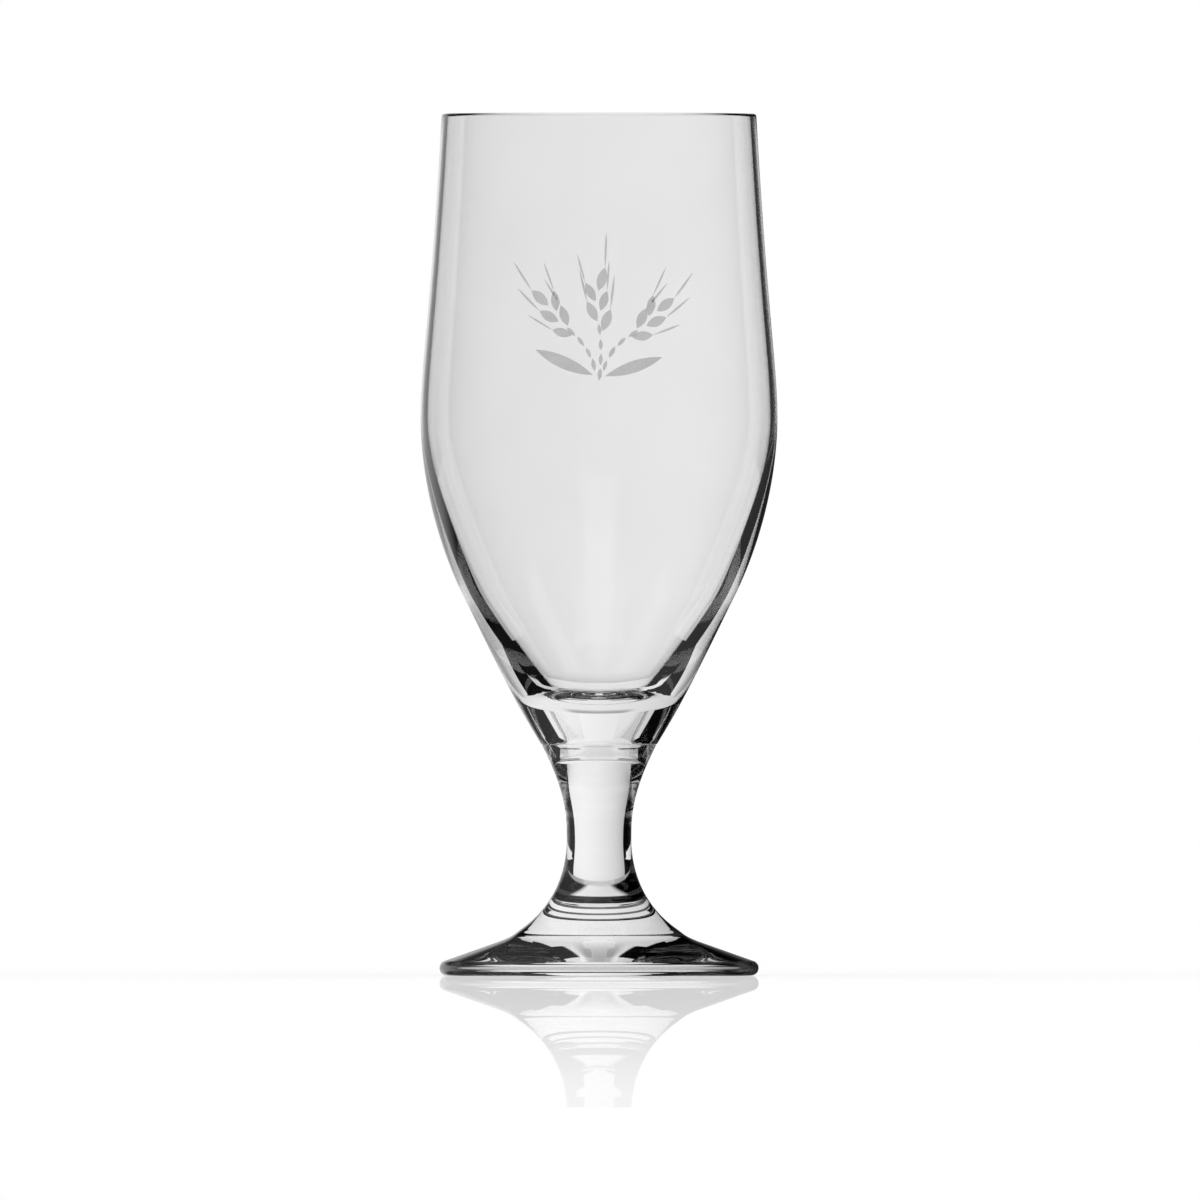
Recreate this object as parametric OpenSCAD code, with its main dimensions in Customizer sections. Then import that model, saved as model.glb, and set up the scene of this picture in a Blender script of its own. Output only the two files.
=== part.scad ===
// Stemmed pilsner glass: a thin blown bowl on a solid base, fused to a pressed stem with a round foot.
// Millimetres, +Z up, origin at the centre of the face that the glass stands on.

/* [Bowl outside] */
// Height of the whole glass
glass_h = 180; // [165:0.5:200]
// Outside diameter of the bowl just below the rim
rim_d = 65.75; // [60:0.05:72]
// Lean of the wall at the rim, from upright
rim_lean = 3.2; // [1:0.1:5]
// How far below the rim the wall keeps that lean
rim_pull = 43; // [20:0.5:50]
// Greatest outside diameter of the bowl
belly_d = 74.55; // [70:0.05:80]
// Height of the greatest diameter
belly_z = 116.4; // [108:0.1:124]
// How far above the belly the wall stays upright
belly_pull_up = 11; // [4:0.5:18]
// How far below the belly the wall stays upright
belly_pull_down = 11.5; // [6:0.5:16]
// Outside diameter where the round belly becomes a cone
cone_d = 56.5; // [53:0.1:60]
// Height where the round belly becomes a cone
cone_z = 79.1; // [75:0.1:84]
// Lean of the cone's wall, from upright
cone_lean = 26.4; // [20:0.1:32]
// How far above that height the cone pulls the wall straight
cone_pull_up = 12; // [6:0.5:15]
// How far below that height, and above the joint, the wall keeps its lean
cone_pull_down = 10; // [5:0.5:13]

/* [Bowl inside] */
// Thickness of the wall at the rim
rim_wall = 1.25; // [0.9:0.05:1.8]
// Thickness of the wall at the belly
belly_wall = 1.4; // [1:0.05:2]
// Thickness of solid glass between the drink and the joint
base_t = 9.8; // [6:0.1:13]
// Inside diameter where the tapering wall turns into the round bottom
bottom_d = 23.1; // [19:0.1:27]
// Height of that turn above the middle of the drink's floor
bottom_h = 3; // [2.6:0.1:4.5]
// Lean of the inside wall at that turn, from upright
bottom_lean = 40.4; // [34:0.1:46]
// How far above that turn the inside keeps its lean
bottom_pull_up = 9.6; // [5:0.1:13]
// How far below that turn the inside keeps its lean
bottom_pull_down = 2.3; // [1:0.1:2.6]
// How far out from its middle the drink's floor stays level
floor_pull = 3.3; // [2:0.1:6]
// How far below the belly the inside stays upright
inside_pull = 20.9; // [16:0.1:26]

/* [Joint] */
// Diameter of the bowl's base at the joint
base_d = 24.4; // [20:0.1:28]
// Lean of the bowl's wall at the joint, from upright
base_lean = 32; // [24:0.5:38]
// Diameter of the stem's top at the joint
stem_top_d = 23.8; // [20:0.1:28]
// Fire-polished rounding of both edges that meet at the joint
joint_round = 0.2; // [0.1:0.05:0.5]

/* [Stem and foot] */
// Height of the stem with its foot, from the table to the joint
stem_h = 48.3; // [44:0.1:54]
// Lean of the stem's side at the joint, from upright
stem_top_lean = 25.6; // [18:0.1:32]
// How far below the joint the stem keeps that lean
stem_top_pull = 4.5; // [2:0.1:7]
// Least diameter of the stem
waist_d = 13.5; // [11:0.1:17]
// Height of the least diameter
waist_z = 30; // [26:0.1:33]
// How far above the waist the stem stays upright
waist_pull_up = 7.7; // [4:0.1:10]
// How far below the waist the stem stays upright
waist_pull_down = 1.8; // [1:0.1:5]
// Diameter of the knee, where the stem's flare turns into the foot
knee_d = 32.8; // [28:0.1:37]
// Height of the knee
knee_z = 9.6; // [8.6:0.1:11]
// Slope of the knee, from level
knee_slope = 34.7; // [28:0.1:42]
// How far above the knee the flare keeps that slope
knee_pull_up = 12.8; // [8:0.1:14]
// How far below the knee the flare keeps that slope
knee_pull_down = 1.5; // [0.5:0.1:3]
// Diameter where the flare runs out into the top of the foot
flare_d = 42.7; // [40:0.1:48]
// How far in from that diameter the flare already follows the foot
flare_pull = 3.7; // [1.5:0.1:4.5]
// Diameter of the foot
foot_d = 66.7; // [60:0.1:74]
// Slope of the foot's top, from level
foot_slope = 19.5; // [12:0.1:24]
// Radius of the foot's round edge
foot_edge_r = 1.57; // [1:0.01:2.2]

/* [Hidden] */

// Facets round the axis, and steps along a curve, half a circle and a rounded edge
round_steps = 180;
curve_steps = 24;
rim_steps = 12;
edge_steps = 10;
joint_steps = 4;

// Points of a cubic curve that leaves a towards b and arrives at d from c
function curve_point(a, b, c, d, t) =
    pow(1 - t, 3) * a + 3 * pow(1 - t, 2) * t * b + 3 * (1 - t) * t * t * c + t * t * t * d;
function curve(a, b, c, d) =
    [for (i = [0 : curve_steps]) curve_point(a, b, c, d, i / curve_steps)];

// Points of an arc about a centre, from one angle to another
function arc_point(centre, r, angle) = centre + r * [cos(angle), sin(angle)];
function arc(centre, r, from, to, steps) =
    [for (i = [0 : steps]) arc_point(centre, r, from + (to - from) * i / steps)];

// A step up a wall that leans outwards, by its rise
function up_wall(lean, rise) = [rise * tan(lean), rise];

// A step down a slope towards the foot's edge, by its length
function down_slope(slope, length) = length * [cos(slope), -sin(slope)];

// The rim is a half round across the wall
rim_r = rim_wall / 2;
rim_z = glass_h - rim_r;
rim_out = [rim_d / 2, rim_z];
rim_in = [rim_d / 2 - rim_wall, rim_z];
belly_out = [belly_d / 2, belly_z];
belly_in = [belly_d / 2 - belly_wall, belly_z];
cone_out = [cone_d / 2, cone_z];
drink_floor = [0, stem_h + base_t];

// Upper wall, from the rim down to the belly. The inside has the outside's curve
function upper_wall(rim, belly) =
    curve(rim, rim + [rim_pull * tan(rim_lean), -rim_pull], belly + [0, belly_pull_up], belly);

// The inside of the lower bowl tapers from the upright belly to a turn, and goes on to the level floor
bottom_in = drink_floor + [bottom_d / 2, bottom_h];
above_bottom = bottom_in + up_wall(bottom_lean, bottom_pull_up);
below_bottom = bottom_in - up_wall(bottom_lean, bottom_pull_down);
taper_inside = curve(belly_in, belly_in - [0, inside_pull], above_bottom, bottom_in);
bottom_inside = curve(bottom_in, below_bottom, drink_floor + [floor_pull, 0], drink_floor);

// The edges at the joint are rounded, so the side starts above or below the joint's face
base_edge = [base_d / 2, stem_h + joint_round];
stem_edge = [stem_top_d / 2, stem_h - joint_round];
base_round_in = [base_d / 2 - joint_round, stem_h + joint_round];
stem_round_in = [stem_top_d / 2 - joint_round, stem_h - joint_round];
above_cone = cone_out + up_wall(cone_lean, cone_pull_up);
below_cone = cone_out - up_wall(cone_lean, cone_pull_down);
above_base = base_edge + up_wall(base_lean, cone_pull_down);
belly_curve = curve(belly_out, belly_out - [0, belly_pull_down], above_cone, cone_out);
cone_curve = curve(cone_out, below_cone, above_base, base_edge);

// The foot's edge is one round that runs into the sloping top and the level underside
edge_centre = [foot_d / 2 - foot_edge_r, foot_edge_r];
slope_start = edge_centre + foot_edge_r * [sin(foot_slope), cos(foot_slope)];
flare_end = [flare_d / 2, slope_start[1] + (slope_start[0] - flare_d / 2) * tan(foot_slope)];
waist = [waist_d / 2, waist_z];
knee = [knee_d / 2, knee_z];
below_joint = stem_edge - up_wall(stem_top_lean, stem_top_pull);
above_knee = knee - down_slope(knee_slope, knee_pull_up);
below_knee = knee + down_slope(knee_slope, knee_pull_down);
stem_curve = curve(stem_edge, below_joint, waist + [0, waist_pull_up], waist);
flare_curve = curve(waist, waist - [0, waist_pull_down], above_knee, knee);
knee_curve = curve(knee, below_knee, flare_end - down_slope(foot_slope, flare_pull), flare_end);

function tail(list) = [for (i = [1 : len(list) - 1]) list[i]];
function reversed(list) = [for (i = [len(list) - 1 : -1 : 0]) list[i]];

bowl_outline = concat(
    reversed(bottom_inside),
    tail(reversed(taper_inside)),
    tail(reversed(upper_wall(rim_in, belly_in))),
    tail(arc((rim_out + rim_in) / 2, rim_r, 180, 0, rim_steps)),
    tail(upper_wall(rim_out, belly_out)),
    tail(belly_curve),
    tail(cone_curve),
    tail(arc(base_round_in, joint_round, 0, -90, joint_steps)),
    [[0, stem_h]]);

foot_outline = concat(
    [[0, stem_h]],
    arc(stem_round_in, joint_round, 90, 0, joint_steps),
    tail(stem_curve),
    tail(flare_curve),
    tail(knee_curve),
    arc(edge_centre, foot_edge_r, 90 - foot_slope, -90, edge_steps),
    [[0, 0]]);

// Thin blown bowl with a rounded rim, on its own solid base
module bowl() {
    color("lightcyan", 0.4)
        rotate_extrude($fn = round_steps) polygon(bowl_outline);
}

// Solid pressed stem that flares into the round foot
module stem_and_foot() {
    color("lightblue", 0.5)
        rotate_extrude($fn = round_steps) polygon(foot_outline);
}

bowl();
stem_and_foot();
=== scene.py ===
# %% [markdown]
# # A stemmed pilsner glass
#
# The glass is two pieces of clear glass: a thin blown bowl on a solid base, and a pressed stem with its foot.
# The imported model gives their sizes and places. This script makes the same two pieces again as smooth turned
# meshes, because a lens shows every facet of a coarse one, and then it sets up the light of the photograph.

# %% Load the fixed frame
import math

import bmesh
import bpy
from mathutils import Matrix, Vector


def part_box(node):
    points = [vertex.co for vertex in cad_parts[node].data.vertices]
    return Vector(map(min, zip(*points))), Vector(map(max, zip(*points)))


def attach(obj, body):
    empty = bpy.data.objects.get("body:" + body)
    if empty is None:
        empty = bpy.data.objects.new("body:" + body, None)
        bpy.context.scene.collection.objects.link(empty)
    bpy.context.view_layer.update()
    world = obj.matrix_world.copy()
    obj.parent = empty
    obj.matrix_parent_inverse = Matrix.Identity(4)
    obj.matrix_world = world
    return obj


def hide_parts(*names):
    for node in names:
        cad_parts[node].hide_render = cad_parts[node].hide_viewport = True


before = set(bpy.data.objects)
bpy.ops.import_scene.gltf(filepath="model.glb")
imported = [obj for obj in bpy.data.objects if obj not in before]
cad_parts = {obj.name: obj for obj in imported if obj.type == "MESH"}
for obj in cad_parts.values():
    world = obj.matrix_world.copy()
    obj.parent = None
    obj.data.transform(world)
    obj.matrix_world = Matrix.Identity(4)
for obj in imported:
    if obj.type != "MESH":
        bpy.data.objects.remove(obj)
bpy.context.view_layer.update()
MM = 0.001

# %% [markdown]
# ## Sizes
#
# The overall sizes are read from the frame, so the pieces always fit it. The sizes of the outline are the
# design's own, in millimetres, under the names that a glass designer would use for them.

# %% Sizes read from the frame
bowl_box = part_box("bowl")
foot_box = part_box("stem_and_foot")
glass_h = bowl_box[1].z / MM
belly_d = (bowl_box[1].x - bowl_box[0].x) / MM
stem_h = foot_box[1].z / MM
foot_d = (foot_box[1].x - foot_box[0].x) / MM
print(f"height {glass_h:.2f}, belly {belly_d:.2f}, joint at {stem_h:.2f}, foot {foot_d:.2f} mm")

# %% [markdown]
# ## Drawing an outline
#
# A turned piece is known by its outline, which is drawn in the plane of radius and height. A pen with cubic
# curves draws it: each stretch leaves one knot in a given direction and arrives at the next in another. That
# is what a Bezier spline in Blender is, so the pen's knots go into one as they are.

# %% The pen
class Outline:
    """A pen that draws in the plane of radius and height, in millimetres."""

    def __init__(self, radius, height):
        start = Vector((radius, height))
        self.knots = [[start, start, start]]

    @property
    def tip(self):
        return self.knots[-1][1]

    def curve(self, leave, arrive, end):
        """A cubic stretch: leave and arrive are steps from its two ends to their handles."""
        self.knots[-1][2] = self.tip + Vector(leave)
        end = Vector(end)
        self.knots.append([end + Vector(arrive), end, end])

    def line(self, radius, height):
        step = (Vector((radius, height)) - self.tip) / 3
        self.curve(step, -step, (radius, height))

    def round(self, centre, turn):
        """Part of a circle about the centre, by the turn in degrees, in steps of at most a quarter."""
        parts = math.ceil(abs(turn) / 90)
        angle = math.radians(turn / parts)
        reach = 4 / 3 * math.tan(angle / 4)
        for _ in range(parts):
            arm = self.tip - Vector(centre)
            end_arm = Vector((arm.x * math.cos(angle) - arm.y * math.sin(angle),
                              arm.x * math.sin(angle) + arm.y * math.cos(angle)))
            leave = Vector((-arm.y, arm.x)) * reach
            arrive = Vector((end_arm.y, -end_arm.x)) * reach
            self.curve(leave, arrive, Vector(centre) + end_arm)


def up_wall(lean, rise):
    """A step up a wall that leans outwards by an angle from upright."""
    return Vector((rise * math.tan(math.radians(lean)), rise))


def down_slope(slope, length):
    """A step down and outwards along a slope, by its angle from level."""
    return Vector((math.cos(math.radians(slope)), -math.sin(math.radians(slope)))) * length


# %% [markdown]
# ## The bowl's outline
#
# The wall is thin at the rim and grows towards the base, because a blown bowl keeps most of its glass at the
# bottom of the mould. Seen from the side, that thick bottom is a lens: the dark edges, the bright crescent
# under the drink and the clear plug above the joint all come from the distance between these two curves.

# %% Bowl outline
rim_d, rim_wall, rim_lean, rim_pull = 65.75, 1.25, 3.2, 43
belly_z, belly_wall, belly_pull_up, belly_pull_down = 116.4, 1.4, 11, 11.5
cone_d, cone_z, cone_lean, cone_pull_up, cone_pull_down = 56.5, 79.1, 26.4, 12, 10
bottom_d, bottom_h, bottom_lean, bottom_pull_up, bottom_pull_down = 23.1, 3, 40.4, 9.6, 2.3
base_t, floor_pull, inside_pull = 9.8, 3.3, 20.9
base_d, base_lean, joint_round = 24.4, 32, 0.2


def bowl_outline():
    """From the middle of the drink's floor, up the inside, over the rim and down to the joint."""
    rim_z = glass_h - rim_wall / 2
    floor_z = stem_h + base_t
    lean_in = up_wall(-rim_lean, rim_pull)
    pen = Outline(0, floor_z)
    pen.curve((floor_pull, 0), -up_wall(bottom_lean, bottom_pull_down), (bottom_d / 2, floor_z + bottom_h))
    pen.curve(up_wall(bottom_lean, bottom_pull_up), (0, -inside_pull), (belly_d / 2 - belly_wall, belly_z))
    pen.curve((0, belly_pull_up), -lean_in, (rim_d / 2 - rim_wall, rim_z))
    pen.round(((rim_d - rim_wall) / 2, rim_z), -180)
    pen.curve(-lean_in, (0, belly_pull_up), (belly_d / 2, belly_z))
    pen.curve((0, -belly_pull_down), up_wall(cone_lean, cone_pull_up), (cone_d / 2, cone_z))
    pen.curve(-up_wall(cone_lean, cone_pull_down), up_wall(base_lean, cone_pull_down),
              (base_d / 2, stem_h + joint_round))
    pen.round((base_d / 2 - joint_round, stem_h + joint_round), -90)
    pen.line(0, stem_h)
    return pen


print("bowl outline", len(bowl_outline().knots), "knots")

# %% [markdown]
# ## The outline of the stem and foot
#
# The stem is pressed: it starts at the joint with about the bowl's lean, thins to a waist and flares into the
# foot through a knee. The foot is a shallow cone with a round edge and a level underside.

# %% Stem and foot outline
stem_top_d, stem_top_lean, stem_top_pull = 23.8, 25.6, 4.5
waist_d, waist_z, waist_pull_up, waist_pull_down = 13.5, 30, 7.7, 1.8
knee_d, knee_z, knee_slope, knee_pull_up, knee_pull_down = 32.8, 9.6, 34.7, 12.8, 1.5
flare_d, flare_pull, foot_slope, foot_edge_r = 42.7, 3.7, 19.5, 1.57


def stem_outline():
    """From the middle of the joint, down the stem, round the foot's edge and along the underside."""
    edge = Vector((foot_d / 2 - foot_edge_r, foot_edge_r))
    slope = math.radians(foot_slope)
    slope_end = edge + Vector((math.sin(slope), math.cos(slope))) * foot_edge_r
    flare_z = slope_end.y + (slope_end.x - flare_d / 2) * math.tan(slope)
    pen = Outline(0, stem_h)
    pen.line(stem_top_d / 2 - joint_round, stem_h)
    pen.round((stem_top_d / 2 - joint_round, stem_h - joint_round), -90)
    pen.curve(-up_wall(stem_top_lean, stem_top_pull), (0, waist_pull_up), (waist_d / 2, waist_z))
    pen.curve((0, -waist_pull_down), -down_slope(knee_slope, knee_pull_up), (knee_d / 2, knee_z))
    pen.curve(down_slope(knee_slope, knee_pull_down), -down_slope(foot_slope, flare_pull),
              (flare_d / 2, flare_z))
    pen.line(*slope_end)
    pen.round(edge, foot_slope - 180)
    pen.line(0, 0)
    return pen


print("stem outline", len(stem_outline().knots), "knots")

# %% [markdown]
# ## Node trees from Python
#
# Materials, the world and Geometry Nodes are all node trees. One small class adds nodes to a tree, and
# another wraps a socket so that sums can be written as Python expressions: each operator adds one Math node.

# %% Helpers for node trees
class Value:
    """A number in a node tree. Sums on it add Math nodes."""

    def __init__(self, tree, socket):
        self.tree = tree
        self.socket = socket

    def sum(self, operation, *numbers):
        return self.tree.node("ShaderNodeMath", {"operation": operation}, dict(enumerate(numbers))).value()

    def __add__(self, other): return self.sum("ADD", self, other)
    def __radd__(self, other): return self.sum("ADD", other, self)
    def __sub__(self, other): return self.sum("SUBTRACT", self, other)
    def __rsub__(self, other): return self.sum("SUBTRACT", other, self)
    def __mul__(self, other): return self.sum("MULTIPLY", self, other)
    def __rmul__(self, other): return self.sum("MULTIPLY", other, self)
    def __truediv__(self, other): return self.sum("DIVIDE", self, other)
    def __rtruediv__(self, other): return self.sum("DIVIDE", other, self)
    def __neg__(self): return self.sum("MULTIPLY", self, -1)
    def __abs__(self): return self.sum("ABSOLUTE", self)
    def larger(self, other): return self.sum("MAXIMUM", self, other)

    def ramp(self, start, end, low=0.0, high=1.0):
        """A smooth change from low to high as this number goes from start to end."""
        settings = {"interpolation_type": "SMOOTHSTEP"}
        sockets = {"Value": self, "From Min": start, "From Max": end, "To Min": low, "To Max": high}
        return self.tree.node("ShaderNodeMapRange", settings, sockets).value("Result")


class Made:
    """A node that has been made, whose outputs can be used as values or links."""

    def __init__(self, tree, node):
        self.tree = tree
        self.node = node

    def out(self, name=0):
        return self.node.outputs[name]

    def value(self, name=0):
        return Value(self.tree, self.out(name))


class Tree:
    """A node tree that is built from Python."""

    def __init__(self, tree):
        self.tree = tree
        tree.nodes.clear()

    def node(self, kind, settings=None, sockets=None):
        node = self.tree.nodes.new(kind)
        for name, setting in (settings or {}).items():
            setattr(node, name, setting)
        for name, given in (sockets or {}).items():
            given = given.socket if isinstance(given, Value) else given
            if isinstance(given, bpy.types.NodeSocket):
                self.tree.links.new(given, node.inputs[name])
            else:
                node.inputs[name].default_value = given
        return Made(self, node)


def material(name):
    """An empty material and its tree."""
    made = bpy.data.materials.new(name)
    made.use_nodes = True
    return made, Tree(made.node_tree)


# %% [markdown]
# ## Clear glass
#
# Soda-lime glass is colourless and bends light by an index of 1.5. A wall that was blown in a turning mould
# is not perfectly even: it has very low, long waves round the axis, which make reflections live. A faint bump
# gives those, and the glass is a trace darker in places. Where the two pieces are fused there is no surface
# left, so the faces that meet there let light pass as if they were not there.

# %% Glass materials
GLASS_INDEX = 1.5


def clear_glass():
    made, tree = material("clear_glass")
    place = tree.node("ShaderNodeTexCoord").out("Object")
    drawn_out = tree.node("ShaderNodeMapping", sockets={"Vector": place, "Scale": (0.35, 0.35, 1)})
    waves = tree.node("ShaderNodeTexNoise", sockets={
        "Vector": drawn_out.out(), "Scale": 90.0, "Detail": 1.0}).value("Fac")
    clouds = tree.node("ShaderNodeTexNoise", sockets={
        "Vector": place, "Scale": 40.0, "Detail": 2.0}).value("Fac")
    bump = tree.node("ShaderNodeBump", sockets={
        "Strength": 1.0, "Distance": 0.008 * MM, "Height": waves})
    glass = tree.node("ShaderNodeBsdfPrincipled", sockets={
        "Base Color": clouds.ramp(0.3, 0.7, 0.985, 1.0), "Roughness": 0.0, "IOR": GLASS_INDEX,
        "Transmission Weight": 1.0, "Normal": bump.out()})
    tree.node("ShaderNodeOutputMaterial", sockets={"Surface": glass.out("BSDF")})
    return made


def fused_joint():
    made, tree = material("fused_joint")
    clear = tree.node("ShaderNodeBsdfTransparent")
    tree.node("ShaderNodeOutputMaterial", sockets={"Surface": clear.out()})
    return made


glass_material = clear_glass()
joint_material = fused_joint()
print("materials", glass_material.name, joint_material.name)

# %% [markdown]
# ## The lathe
#
# Both pieces are turned, so one Geometry Nodes tree makes both. It lays out a grid with one row for each
# point of the outline, takes the radius and height of its row and turns it about the axis by its column.
# Then it merges the seam and the two poles, so that each piece is one closed skin.

# %% Lathe tree
def lathe_tree():
    group = bpy.data.node_groups.new("lathe", "GeometryNodeTree")
    face = group.interface
    face.new_socket("Outline", in_out="INPUT", socket_type="NodeSocketObject")
    face.new_socket("Columns", in_out="INPUT", socket_type="NodeSocketInt")
    face.new_socket("Weld", in_out="INPUT", socket_type="NodeSocketFloat")
    face.new_socket("Glass", in_out="INPUT", socket_type="NodeSocketMaterial")
    face.new_socket("Geometry", in_out="OUTPUT", socket_type="NodeSocketGeometry")
    tree = Tree(group)
    given = tree.node("NodeGroupInput")
    drawn = tree.node("GeometryNodeObjectInfo", sockets={"Object": given.out("Outline")})
    points = tree.node("GeometryNodeCurveToPoints", {"mode": "EVALUATED"}, {"Curve": drawn.out("Geometry")})
    rows = tree.node("GeometryNodeAttributeDomainSize", {"component": "POINTCLOUD"},
                     {"Geometry": points.out("Points")}).value("Point Count")
    columns = Value(tree, given.out("Columns"))
    grid = tree.node("GeometryNodeMeshGrid", sockets={
        "Size X": 1.0, "Size Y": 1.0, "Vertices X": columns + 1, "Vertices Y": rows})
    here = tree.node("GeometryNodeInputPosition")
    place = tree.node("ShaderNodeSeparateXYZ", sockets={"Vector": here.out()})
    row = tree.node("ShaderNodeMath", {"operation": "ROUND"}, {0: (place.value("Y") + 0.5) * (rows - 1)})
    knot = tree.node("GeometryNodeSampleIndex", {"data_type": "FLOAT_VECTOR", "domain": "POINT"}, {
        "Geometry": points.out("Points"), "Value": here.out(), "Index": row.out()})
    turned = tree.node("ShaderNodeVectorRotate", {"rotation_type": "Z_AXIS"}, {
        "Vector": knot.out("Value"), "Angle": (place.value("X") + 0.5) * math.tau})
    skin = tree.node("GeometryNodeSetPosition", sockets={
        "Geometry": grid.out("Mesh"), "Position": turned.out()})
    welded = tree.node("GeometryNodeMergeByDistance", sockets={
        "Geometry": skin.out(), "Distance": given.out("Weld")})
    outward = tree.node("GeometryNodeFlipFaces", sockets={"Mesh": welded.out()})
    smooth = tree.node("GeometryNodeSetShadeSmooth", sockets={"Geometry": outward.out()})
    real = tree.node("GeometryNodeRealizeInstances", sockets={"Geometry": smooth.out()})
    glazed = tree.node("GeometryNodeSetMaterial", sockets={
        "Geometry": real.out(), "Material": given.out("Glass")})
    tree.node("NodeGroupOutput", sockets={"Geometry": glazed.out()})
    return group


def made_by(group, name, inputs):
    """A plain mesh object with what a Geometry Nodes tree makes from its named inputs."""
    carrier = bpy.data.objects.new(name, bpy.data.meshes.new(name))
    bpy.context.scene.collection.objects.link(carrier)
    modifier = carrier.modifiers.new(group.name, "NODES")
    modifier.node_group = group
    for item in group.interface.items_tree:
        if item.in_out == "INPUT" and item.name in inputs:
            modifier[item.identifier] = inputs[item.name]
    bpy.context.view_layer.update()
    seen = carrier.evaluated_get(bpy.context.evaluated_depsgraph_get())
    mesh = bpy.data.meshes.new_from_object(seen)
    carrier.modifiers.clear()
    carrier.data = mesh
    mesh.name = name
    return carrier


# %% Turn the two pieces
STEPS = 24
COLUMNS = 288
lathe = lathe_tree()


def spline_of(pen, name):
    """The pen's knots as a Bezier spline, in the plane of the axis."""
    curve = bpy.data.curves.new(name, "CURVE")
    curve.dimensions = "3D"
    curve.resolution_u = STEPS
    spline = curve.splines.new("BEZIER")
    spline.bezier_points.add(len(pen.knots) - 1)
    for point, (before, knot, after) in zip(spline.bezier_points, pen.knots):
        point.handle_left_type = point.handle_right_type = "FREE"
        point.co = Vector((knot.x, 0, knot.y)) * MM
        point.handle_left = Vector((before.x, 0, before.y)) * MM
        point.handle_right = Vector((after.x, 0, after.y)) * MM
    made = bpy.data.objects.new(name, curve)
    bpy.context.scene.collection.objects.link(made)
    return made


def turned_piece(name, pen):
    outline = spline_of(pen, name + "_outline")
    piece = made_by(lathe, name, {
        "Outline": outline, "Columns": COLUMNS, "Weld": 0.0005 * MM, "Glass": glass_material})
    bpy.data.objects.remove(outline)
    mesh = piece.data
    mesh.materials.append(joint_material)
    fused = 0
    for polygon in mesh.polygons:
        corners = [mesh.vertices[i].co.z for i in polygon.vertices]
        if max(abs(z / MM - stem_h) for z in corners) < 1e-3:
            polygon.material_index = 1
            fused += 1
    print(name, "fused faces", fused)
    print(name, len(mesh.polygons), "faces", [round(x / MM, 2) for x in piece.dimensions], "mm")
    return piece


bowl = turned_piece("glass_bowl", bowl_outline())
stem = turned_piece("glass_stem_and_foot", stem_outline())
for piece, node in ((bowl, "bowl"), (stem, "stem_and_foot")):
    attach(piece, "root")
    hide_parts(node)

# %% [markdown]
# ## A printed sprig
#
# Such glasses are often decorated with a print of pale grey ceramic ink that is fired on. Here it is a sprig
# of barley: three ears on their stalks, with two leaves. It is cut like a stencil from one kind of blade that
# repeats along drawn paths and leans left and right in turn. The tree lays the blades out flat, as on the
# printing screen, and then presses each point inwards onto the bowl, where the ink stands a little proud.

# %% Printing ink
def print_ink():
    made, tree = material("print_ink")
    place = tree.node("ShaderNodeTexCoord").out("Object")
    grain = tree.node("ShaderNodeTexNoise", sockets={
        "Vector": place, "Scale": 2500.0, "Detail": 3.0}).value("Fac")
    patches = tree.node("ShaderNodeTexNoise", sockets={
        "Vector": place, "Scale": 250.0, "Detail": 2.0}).value("Fac")
    shade = grain.ramp(0.3, 0.7, 0.47, 0.52) * patches.ramp(0.3, 0.7, 0.96, 1.02)
    bump = tree.node("ShaderNodeBump", sockets={"Strength": 0.4, "Distance": 0.01 * MM, "Height": grain})
    ink = tree.node("ShaderNodeBsdfPrincipled", sockets={
        "Base Color": shade, "Roughness": patches.ramp(0.3, 0.7, 0.5, 0.65), "Specular IOR Level": 0.2,
        "Normal": bump.out()})
    tree.node("ShaderNodeOutputMaterial", sockets={"Surface": ink.out("BSDF")})
    return made


# %% Tree that repeats a blade along paths and wraps it on the bowl
BLADE_INPUTS = {
    "Path": "Object", "Bowl": "Object", "Spacing": "Float", "Length": "Float", "Width": "Float",
    "Turn": "Float", "Across": "Float", "Along": "Float", "Ink": "Material"}
INK_THICK, INK_LIFT = 0.03, 0.01
PRINT_Z, PRINT_R, RAY_START = 138.0, 36.4, 60.0
BLADE_COLUMNS, BLADE_ROWS = 5, 17
LEAST_SIZE, MOST_SIZE, SEED = 0.92, 1.08, 7


def flat_blade(tree):
    """A closed, thin, pointed blade one unit long and one wide, that starts at its own origin."""
    grid = tree.node("GeometryNodeMeshGrid", sockets={
        "Size X": 1.0, "Size Y": 1.0, "Vertices X": BLADE_COLUMNS, "Vertices Y": BLADE_ROWS})
    here = tree.node("GeometryNodeInputPosition")
    place = tree.node("ShaderNodeSeparateXYZ", sockets={"Vector": here.out()})
    x, y = place.value("X"), place.value("Y")
    pointed = tree.node("ShaderNodeCombineXYZ", sockets={"X": x * (1 - 4 * y * y), "Y": y + 0.5})
    flat = tree.node("GeometryNodeSetPosition", sockets={
        "Geometry": grid.out("Mesh"), "Position": pointed.out()})
    raised = tree.node("GeometryNodeExtrudeMesh", {"mode": "FACES"}, {
        "Mesh": flat.out(), "Offset Scale": INK_THICK * MM, "Individual": False})
    under = tree.node("GeometryNodeFlipFaces", sockets={"Mesh": flat.out()})
    both = tree.node("GeometryNodeJoinGeometry", sockets={"Geometry": raised.out("Mesh")})
    tree.tree.links.new(under.out(), both.node.inputs["Geometry"])
    return tree.node("GeometryNodeMergeByDistance", sockets={"Geometry": both.out(), "Distance": 1e-6})


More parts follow.
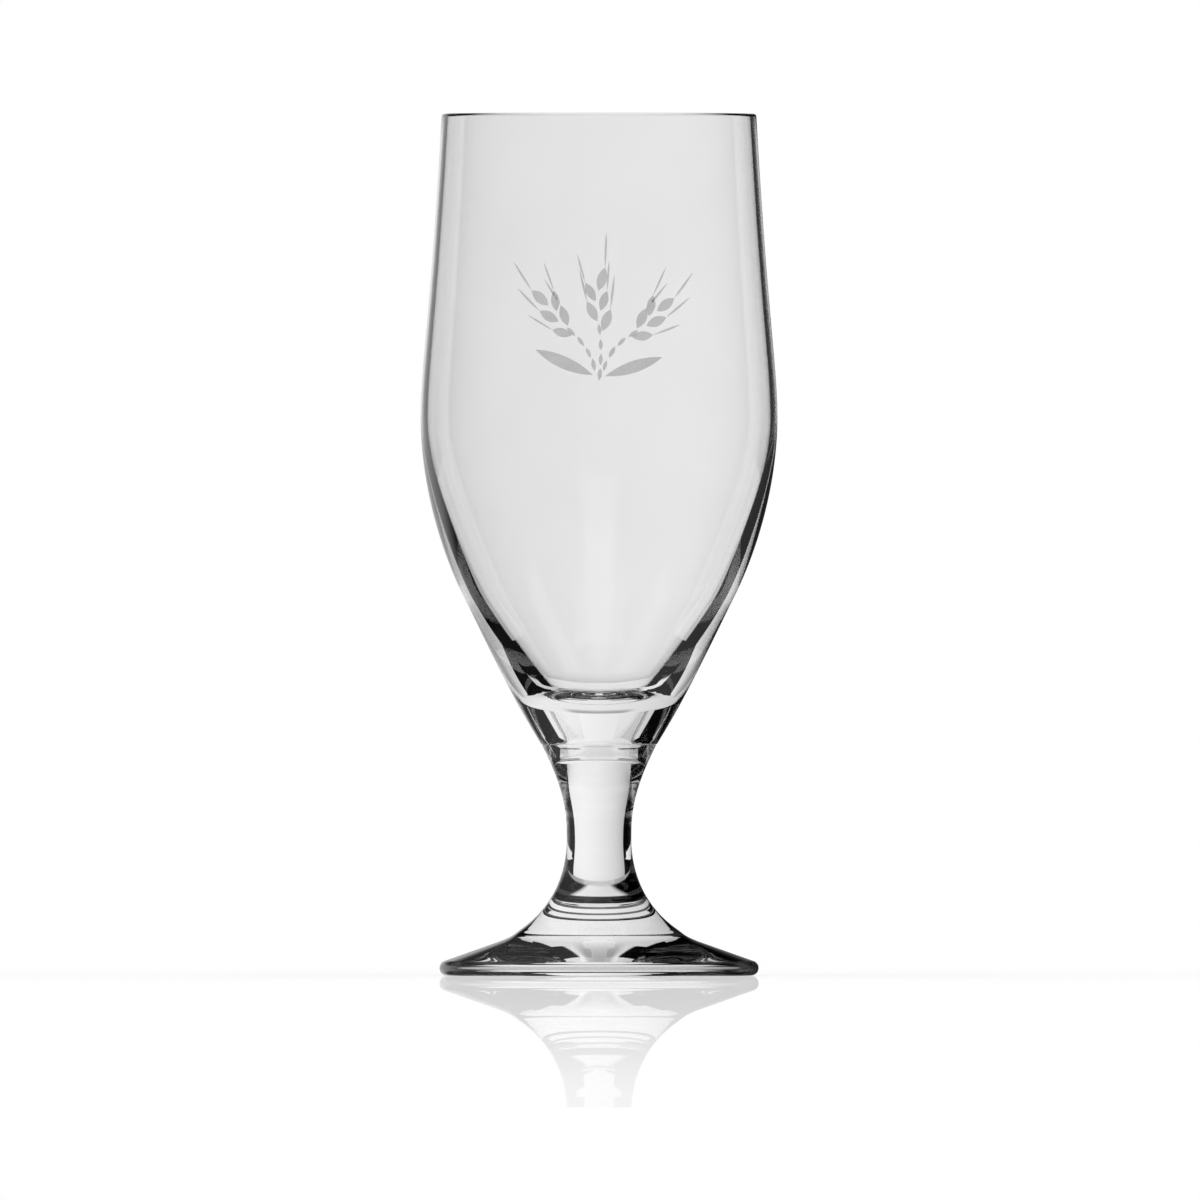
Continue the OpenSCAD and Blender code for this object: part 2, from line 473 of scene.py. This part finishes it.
def pressed_on(tree, geometry, bowl):
    """Moves flat points, across and up, inwards onto the bowl."""
    here = tree.node("GeometryNodeInputPosition")
    place = tree.node("ShaderNodeSeparateXYZ", sockets={"Vector": here.out()})
    angle = place.value("X") / (PRINT_R * MM)
    side, front = angle.sum("SINE", angle), angle.sum("COSINE", angle)
    start = tree.node("ShaderNodeCombineXYZ", sockets={
        "X": side * RAY_START * MM, "Y": -front * RAY_START * MM, "Z": place.value("Y") + PRINT_Z * MM})
    inwards = tree.node("ShaderNodeCombineXYZ", sockets={"X": -side, "Y": front})
    ray = tree.node("GeometryNodeRaycast", sockets={
        "Target Geometry": bowl, "Source Position": start.out(), "Ray Direction": inwards.out(),
        "Ray Length": RAY_START * MM})
    proud = place.value("Z") + INK_LIFT * MM
    lift = tree.node("ShaderNodeCombineXYZ", sockets={"X": proud, "Y": proud, "Z": proud})
    pressed = tree.node("ShaderNodeVectorMath", {"operation": "MULTIPLY_ADD"}, {
        0: ray.out("Hit Normal"), 1: lift.out(), 2: ray.out("Hit Position")})
    return tree.node("GeometryNodeSetPosition", sockets={"Geometry": geometry, "Position": pressed.out()})


def blade_tree():
    group = bpy.data.node_groups.new("blades", "GeometryNodeTree")
    for name, kind in BLADE_INPUTS.items():
        group.interface.new_socket(name, in_out="INPUT", socket_type="NodeSocket" + kind)
    group.interface.new_socket("Geometry", in_out="OUTPUT", socket_type="NodeSocketGeometry")
    tree = Tree(group)
    given = tree.node("NodeGroupInput")
    drawn = tree.node("GeometryNodeObjectInfo", sockets={"Object": given.out("Path")})
    points = tree.node("GeometryNodeCurveToPoints", {"mode": "LENGTH"}, {
        "Curve": drawn.out("Geometry"), "Length": given.out("Spacing")})
    way = tree.node("ShaderNodeSeparateXYZ", sockets={"Vector": points.out("Tangent")})
    heading = way.value("Y").sum("ARCTAN2", way.value("Y"), way.value("X"))
    index = tree.node("GeometryNodeInputIndex").value()
    side = index.sum("MODULO", index, 2) * 2 - 1
    # The node's sockets for a plain number are the third and fourth, and the last is the seed
    size = tree.node("FunctionNodeRandomValue", {"data_type": "FLOAT"}, {
        2: LEAST_SIZE, 3: MOST_SIZE, 8: SEED}).value(1)
    turn = tree.node("ShaderNodeCombineXYZ", sockets={
        "Z": heading - math.pi / 2 + side * given.value("Turn")})
    scale = tree.node("ShaderNodeCombineXYZ", sockets={
        "X": size * given.value("Width"), "Y": size * given.value("Length"), "Z": 1.0})
    placed = tree.node("GeometryNodeInstanceOnPoints", sockets={
        "Points": points.out("Points"), "Instance": flat_blade(tree).out(), "Rotation": turn.out(),
        "Scale": scale.out()})
    step = tree.node("ShaderNodeCombineXYZ", sockets={
        "X": -side * given.value("Across"), "Y": given.out("Along")})
    moved = tree.node("GeometryNodeTranslateInstances", sockets={
        "Instances": placed.out(), "Translation": step.out(), "Local Space": True})
    real = tree.node("GeometryNodeRealizeInstances", sockets={"Geometry": moved.out()})
    bowl_skin = tree.node("GeometryNodeObjectInfo", sockets={"Object": given.out("Bowl")})
    printed = pressed_on(tree, real.out(), bowl_skin.out("Geometry"))
    inked = tree.node("GeometryNodeSetMaterial", sockets={
        "Geometry": printed.out(), "Material": given.out("Ink")})
    tree.node("NodeGroupOutput", sockets={"Geometry": inked.out()})
    return group


# %% Draw the sprig
def drawn_paths(name, paths):
    """One curve for each start, pull and end, across and up in millimetres."""
    curve = bpy.data.curves.new(name, "CURVE")
    curve.dimensions = "3D"
    curve.resolution_u = STEPS
    for start, pull, end in paths:
        spline = curve.splines.new("BEZIER")
        spline.bezier_points.add(1)
        for point, knot in zip(spline.bezier_points, (start, end)):
            point.handle_left_type = point.handle_right_type = "FREE"
            point.co = Vector((*knot, 0)) * MM
            towards = Vector((*knot, 0)).lerp(Vector((*pull, 0)), 2 / 3)
            point.handle_left = point.handle_right = towards * MM
    made = bpy.data.objects.new(name, curve)
    bpy.context.scene.collection.objects.link(made)
    return made


stalks = drawn_paths("stalks", (
    ((0, -13.5), (0.6, -8), (0.2, -4)),
    ((-0.9, -11.5), (-1.6, -7.5), (-5.0, -4.2)),
    ((0.9, -11.5), (2.2, -7), (6.2, -4.4))))
ears = drawn_paths("ears", (
    ((0.2, -3), (0, 1), (-0.6, 5.4)),
    ((-5.6, -3.6), (-8.6, -1.2), (-10.6, 2.6)),
    ((6.9, -3.9), (10, -2.2), (12.3, 1.4))))
leaves = drawn_paths("leaves", (
    ((-1.2, -12.4), (-7, -9.9), (-12.5, -7.5)),
    ((1.2, -12.6), (8, -10.4), (14, -8.3))))
# Across and along are steps of the blade's own width and length, and the turn is in degrees
BLADES = (
    (stalks, {"Spacing": 2.6, "Length": 2.5, "Width": 0.85, "Turn": 0.0, "Across": 0.0, "Along": 0.0}),
    (ears, {"Spacing": 1.75, "Length": 4.7, "Width": 2.0, "Turn": 24.0, "Across": 0.25, "Along": 0.0}),
    (ears, {"Spacing": 1.75, "Length": 7.2, "Width": 0.45, "Turn": 10.0, "Across": 3.6, "Along": 0.6}),
    (leaves, {"Spacing": 30.0, "Length": 13.0, "Width": 2.5, "Turn": 0.0, "Across": 0.0, "Along": 0.0}))
units = {"Turn": math.radians(1), "Across": 1.0, "Along": 1.0}
blades, ink = blade_tree(), print_ink()
whole = bmesh.new()
for path, sizes in BLADES:
    inputs = {name: size * units.get(name, MM) for name, size in sizes.items()}
    part = made_by(blades, "blades", {"Path": path, "Bowl": bowl, "Ink": ink, **inputs})
    whole.from_mesh(part.data)
    print(path.name, len(part.data.polygons), "faces")
    bpy.data.objects.remove(part)
for path in (stalks, ears, leaves):
    bpy.data.objects.remove(path)
printed_mesh = bpy.data.meshes.new("printed_sprig")
whole.to_mesh(printed_mesh)
whole.free()
printed_mesh.materials.append(ink)
sprig = bpy.data.objects.new("printed_sprig", printed_mesh)
bpy.context.scene.collection.objects.link(sprig)
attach(sprig, "root")
print("sprig", len(printed_mesh.polygons), "faces", [round(x / MM, 2) for x in sprig.dimensions], "mm")

# %% [markdown]
# ## The camera
#
# The photo was taken from far away with the lens at the height of the glass, so that left and right walls
# stay upright. A camera without perspective does the same. It looks down by a third of a degree.

# %% Camera
PHOTO_PX = 1200
rim_row, base_row, axis_column = 113.7, 975.5, 599.05
pixel = glass_h * MM / (base_row - rim_row)
camera_rise = math.radians(0.35)
camera_distance = 10.0
lens = bpy.data.cameras.new("camera")
lens.type = "ORTHO"
lens.ortho_scale = PHOTO_PX * pixel
camera = bpy.data.objects.new("camera", lens)
bpy.context.scene.collection.objects.link(camera)
aim = Vector(((PHOTO_PX / 2 - axis_column) * pixel, 0, (base_row - PHOTO_PX / 2) * pixel))
camera.location = aim + Vector((0, -math.cos(camera_rise), math.sin(camera_rise))) * camera_distance
camera.rotation_euler = (math.pi / 2 - camera_rise, 0, 0)
bpy.context.scene.camera = camera
print(f"picture {lens.ortho_scale / MM:.1f} mm across")

# %% [markdown]
# ## Light for glass
#
# Glass has no colour of its own: it shows what stands round it, bent and turned over. It is photographed in a
# bright field, with a white window close behind it and black cloth at both sides. The cloth draws the dark
# lines along the walls, and the window fills the rest. These sheets are for the glass alone: the camera looks
# past them, and they shade nothing.

# %% Sheets that only the glass sees
def sheet(name, corners, made):
    """A flat stage piece from its corners, in millimetres."""
    mesh = bpy.data.meshes.new(name)
    mesh.from_pydata([Vector(c) * MM for c in corners], [], [range(len(corners))])
    mesh.materials.append(made)
    piece = bpy.data.objects.new(name, mesh)
    bpy.context.scene.collection.objects.link(piece)
    return piece


def for_glass_only(piece):
    piece.visible_camera = False
    piece.visible_diffuse = False
    piece.visible_shadow = False


def upright(name, edge, y, made):
    """A sheet that faces the camera, from its edge across and up."""
    for_glass_only(sheet(name, [(x, y, z) for x, z in edge], made))


def square(left, right, low, high):
    return (left, low), (right, low), (right, high), (left, high)


# %% [markdown]
# ## What a sheet knows about a ray
#
# The Light Path node counts how often a ray went through a surface and how often it was turned back. A ray
# that crosses the bowl passes four surfaces, and one through the stem passes two. The rest were turned inside
# the thick glass. A real studio has one set of cloth for all of them. Here each kind of ray has its own, so
# that the bands of the photo can be set one by one, and thin walls stay clear from the other sides.

# %% Kinds of ray
class Ray:
    """What a stage material may know about the ray that sees it."""

    # camera: straight from the lens. mirrored: turned back by the outer skin. bent: any ray from the glass.
    # turned: turned back inside. clear: straight through the bowl. plain: through one solid or one wall.
    def __init__(self, tree):
        path = tree.node("ShaderNodeLightPath")
        through = path.value("Is Transmission Ray")
        passed = path.value("Transmission Depth")
        self.camera = path.value("Is Camera Ray")
        self.mirrored = path.value("Is Reflection Ray") * passed.ramp(0.6, 0.4)
        self.bent = path.value("Is Glossy Ray").larger(through)
        self.turned = (path.value("Ray Depth") - passed).ramp(0.4, 0.6) * passed.ramp(0.4, 0.6)
        self.clear = through * passed.ramp(3.0, 3.5) * (1 - self.turned)
        self.plain = self.bent * (1 - self.clear) * (1 - self.turned) * (1 - self.mirrored)


def blend(start, end, part):
    return start + (end - start) * part


def seen_at(tree):
    """Across and up on an upright sheet, in millimetres."""
    place = tree.node("ShaderNodeTexCoord").out("Object")
    split = tree.node("ShaderNodeSeparateXYZ", sockets={"Vector": place})
    return split.value("X") / MM, split.value("Z") / MM


def stage_material(name, level, seen):
    """A glow of a level, shown to the rays for which seen is 1. Both are made in the material's tree."""
    made, tree = material(name)
    light = tree.node("ShaderNodeEmission", sockets={"Color": level(tree)})
    gone = tree.node("ShaderNodeBsdfTransparent")
    shown = tree.node("ShaderNodeMixShader", sockets={0: seen(tree), 1: gone.out(), 2: light.out()})
    tree.node("ShaderNodeOutputMaterial", sockets={"Surface": shown.out()})
    return made


# %% The window and its black frame
LEFT_DARK, RIGHT_DARK = 0.002, 0.037
WINDOW_Y, WINDOW_LOW, WINDOW_TOP, WINDOW_HALF = 76, -83, 271, 66
WING_HALF, WING_TOP = 140, 76
FLAG_LOW, FLAG_OUT, FLAG_TOP, FLAG_STEP = 190, 500, 489, 0.1
KERB_X, KERB_TOP, KERB_NEAR, KERB_FAR = 50, 30, -80, 60
SCREEN_Y, SCREEN_IN, SCREEN_OUT, SCREEN_LOW, SCREEN_TOP = 45, 3, 36, -10, 46
EDGE_SOFT, ALL_LIT = 1.2, 200


def window_level(tree):
    x, z = seen_at(tree)
    ray = Ray(tree)
    through_bowl = x.ramp(-61, 61, 0.86, 0.98) * z.ramp(-20, 55, 0.66, 1.0)
    through_stem = x.ramp(-95, 30, 0.30, 0.985)
    inside = x.ramp(-60, 40, 0.68, 0.95) * (1 - 0.5 * z.ramp(40, 62) * abs(x).ramp(14, 8))
    light = blend(blend(through_stem, inside, ray.turned), through_bowl, ray.clear.larger(z.ramp(95, 125)))
    straight_half = z.ramp(20, 95, 50, 65) + z.ramp(120, 130, 0, 100)
    turned_half = z.ramp(-40, 30, 62, 41) + z.ramp(40, 70, 0, 10)
    half = blend(blend(straight_half, turned_half, ray.turned), ALL_LIT, ray.clear)
    dark = x.ramp(-1.5, 1.5, LEFT_DARK, RIGHT_DARK)
    beyond = x.ramp(-90, 90, 0.46, 0.63) * (abs(x) - z.ramp(0, 60, 75, 87)).ramp(-3, 3) * ray.turned
    return blend(dark.larger(beyond), light, (abs(x) - half).ramp(EDGE_SOFT, -EDGE_SOFT))


def window_seen(tree):
    x, z = seen_at(tree)
    ray = Ray(tree)
    return 1 - ray.mirrored.larger(ray.plain * abs(x).ramp(WINDOW_HALF - 1, WINDOW_HALF + 1) * z.ramp(10, 6))


def flag_seen(tree):
    _, z = seen_at(tree)
    ray = Ray(tree)
    return ray.turned.larger(ray.plain * z.ramp(6, 10) * z.ramp(130, 120))


def turned_only(tree):
    return Ray(tree).turned


def black(level):
    return lambda tree: (level, level, level, 1)


def screen_seen(tree):
    """Cloth close behind the foot, with an opening that changes with the height."""
    x, z = seen_at(tree)
    half = z.ramp(-3, 0, 4, 11) + z.ramp(11, 13, 0, 11) - z.ramp(17, 19, 0, 10) - z.ramp(29, 32, 0, 5)
    return Ray(tree).turned * (abs(x) - half).ramp(-0.7, 0.7)


wing = ((WING_HALF, WINDOW_LOW), (WING_HALF, WING_TOP), (WINDOW_HALF, WING_TOP))
right_edge = (*wing, (WINDOW_HALF, WINDOW_TOP))
left_edge = [(-x, z) for x, z in reversed(right_edge)]
upright("window", [*right_edge, *left_edge], WINDOW_Y,
        stage_material("window_light", window_level, window_seen))
flag = (*wing, (WINDOW_HALF, FLAG_LOW), (WING_HALF, FLAG_LOW), (FLAG_OUT, FLAG_TOP), (FLAG_OUT, WINDOW_LOW))
for word, side, level in (("left", -1, LEFT_DARK), ("right", 1, RIGHT_DARK)):
    cloth = stage_material("flag_" + word, black(level), flag_seen)
    upright("flag_" + word, [(side * x, z) for x, z in flag], WINDOW_Y - FLAG_STEP, cloth)
    kerb = [(side * KERB_X, y, z) for y, z in square(KERB_NEAR, KERB_FAR, WINDOW_LOW, KERB_TOP)]
    for_glass_only(sheet("kerb_" + word, kerb, stage_material("kerb_" + word, black(level), turned_only)))
    screen = square(side * SCREEN_IN, side * SCREEN_OUT, SCREEN_LOW, SCREEN_TOP)
    upright("screen_" + word, screen, SCREEN_Y, stage_material("screen_" + word, black(level), screen_seen))
print("window", 2 * WINDOW_HALF, "mm wide,", WINDOW_Y, "mm behind the axis")

# %% [markdown]
# ## The table
#
# The table is white and a little polished. At the camera's flat angle it shows the glass again, upside down
# and pale, and that picture ends at the table's front edge. Rays that leave the foot downwards meet a painted
# shadow: a dark disc on the table under the foot, with a small painted patch of light in it.

# %% Floor
def floor_finish():
    made, tree = material("floor")
    place = tree.node("ShaderNodeTexCoord").out("Object")
    split = tree.node("ShaderNodeSeparateXYZ", sockets={"Vector": place})
    x, y = split.value("X") / MM, -split.value("Y")
    centre = tree.node("ShaderNodeVectorMath", {"operation": "LENGTH"}, {0: place}).value("Value") / MM
    ray = Ray(tree)
    polish = tree.node("ShaderNodeFresnel", sockets={"IOR": 1.3}).value()
    grazing = polish * polish * polish * polish
    strip = abs(x).ramp(45, 38) * y.ramp(-0.070, -0.060)
    zone = abs(x).ramp(60, 55) * y.ramp(-0.020, -0.024)
    fade = y.ramp(0.0, 4.5, 0.437, 0.115) * y.ramp(4.52, 4.48)
    white = tree.node("ShaderNodeEmission", sockets={"Color": (1, 1, 1, 1), "Strength": 0.5})
    matt = tree.node("ShaderNodeBsdfDiffuse", sockets={"Color": (0.5, 0.5, 0.5, 1)})
    pale = tree.node("ShaderNodeAddShader", sockets={0: white.out(), 1: matt.out()})
    mirror = tree.node("ShaderNodeBsdfAnisotropic", sockets={"Color": (1, 1, 1, 1), "Roughness": 0.0})
    shown = tree.node("ShaderNodeMixShader", sockets={
        0: strip * fade * grazing * ray.camera, 1: pale.out(), 2: mirror.out()})
    gone = tree.node("ShaderNodeBsdfTransparent")
    below = tree.node("ShaderNodeMixShader", sockets={
        0: ray.bent * ray.turned.larger(ray.mirrored).larger(ray.plain * zone),
        1: shown.out(), 2: gone.out()})
    # Painted light: a small bright patch, 0.7 to 0.9, inside the painted shadow under the foot
    painted_light_spot = abs(x).ramp(3.2, 1.8) * y.ramp(-0.003, -0.005) * y.ramp(-0.017, -0.0155)
    shade = x.ramp(-1.5, 1.5, 0.0, 0.03).larger(painted_light_spot * x.ramp(-3, 3, 0.7, 0.9))
    # Painted shadow under the foot: a dark glow, a trace lighter at the right, for rays turned inside the
    # glass within 23.7 mm of the axis
    dark = tree.node("ShaderNodeEmission", sockets={"Color": shade})
    under = tree.node("ShaderNodeMixShader", sockets={
        0: ray.turned * centre.ramp(24.2, 23.2), 1: below.out(), 2: dark.out()})
    tree.node("ShaderNodeOutputMaterial", sockets={"Surface": under.out()})
    return made


FLOOR_HALF, FLOOR_GAP = 12000, 0.03
sheet("floor", [(x, y, -FLOOR_GAP) for x, y in square(-FLOOR_HALF, FLOOR_HALF, -FLOOR_HALF, FLOOR_HALF)],
      floor_finish())
print("floor", FLOOR_GAP, "mm below the foot")

# %% [markdown]
# ## The room
#
# The camera sees a white room. The glass sees a dark one with a soft light overhead, weaker at the left, and
# the white table in front of it. Thin walls, and rays that go down or back, see it lit.

# %% World
def studio():
    world = bpy.data.worlds.new("studio")
    world.use_nodes = True
    bpy.context.scene.world = world
    tree = Tree(world.node_tree)
    way = tree.node("ShaderNodeTexCoord").out("Generated")
    split = tree.node("ShaderNodeSeparateXYZ", sockets={"Vector": way})
    x, y, z = (split.value(axis) for axis in "XYZ")
    ray = Ray(tree)
    dark = x.ramp(-0.15, 0.15, LEFT_DARK, RIGHT_DARK)
    lamp = x.ramp(-0.8, 0.8, 0.62, 1.0) * z.ramp(0.60, 0.68) * y.ramp(-0.22, -0.14)
    front = 0.46 * abs(x).ramp(0.25, 0.12) * y.ramp(-0.2, -0.35) * abs(z).ramp(0.45, 0.55)
    table = 0.6 * z.ramp(-0.80, -0.88) * y.ramp(0.05, -0.1)
    back = 0.85 * y.ramp(-0.5, -0.65) * abs(x).ramp(0.6, 0.5) * abs(z).ramp(0.45, 0.4)
    inside = dark.larger(lamp).larger(front).larger(table)
    sides = 0.8 * z.ramp(-0.15, -0.22)
    glint = x.ramp(-0.3, 0.1, 0.2, 0.02) * z.ramp(0.60, 0.68)
    behind = x.ramp(-0.1, 0.1, 0.7, 0.03) * y.ramp(0.5, 0.8) * abs(z).ramp(0.3, 0.15)
    level_view = abs(x).ramp(0.03, 0.02) * abs(z).ramp(0.03, 0.02) * y.ramp(0.0, 0.1)
    outside = glint.larger(behind).larger(level_view)
    band = abs(x).ramp(0.50, 0.52) * y.ramp(0.1, 0.2) * abs(z).ramp(0.15, 0.12)
    clear = blend(inside.larger(x.ramp(-0.6, 0.6, 0.84, 0.95) * z.ramp(0.9, 0.6)), dark, band)
    seen = blend(blend(inside, clear, ray.clear), inside.larger(sides).larger(back), ray.plain)
    seen = blend(seen, outside, ray.mirrored)
    room = tree.node("ShaderNodeBackground", sockets={"Color": blend(1, seen, ray.bent)})
    tree.node("ShaderNodeOutputWorld", sockets={"Surface": room.out()})


studio()
bpy.context.scene.view_settings.view_transform = "Standard"
bpy.context.scene.cycles.max_bounces = 24
bpy.context.scene.cycles.glossy_bounces = 16
bpy.context.scene.cycles.transmission_bounces = 16
print("world", bpy.context.scene.world.name)
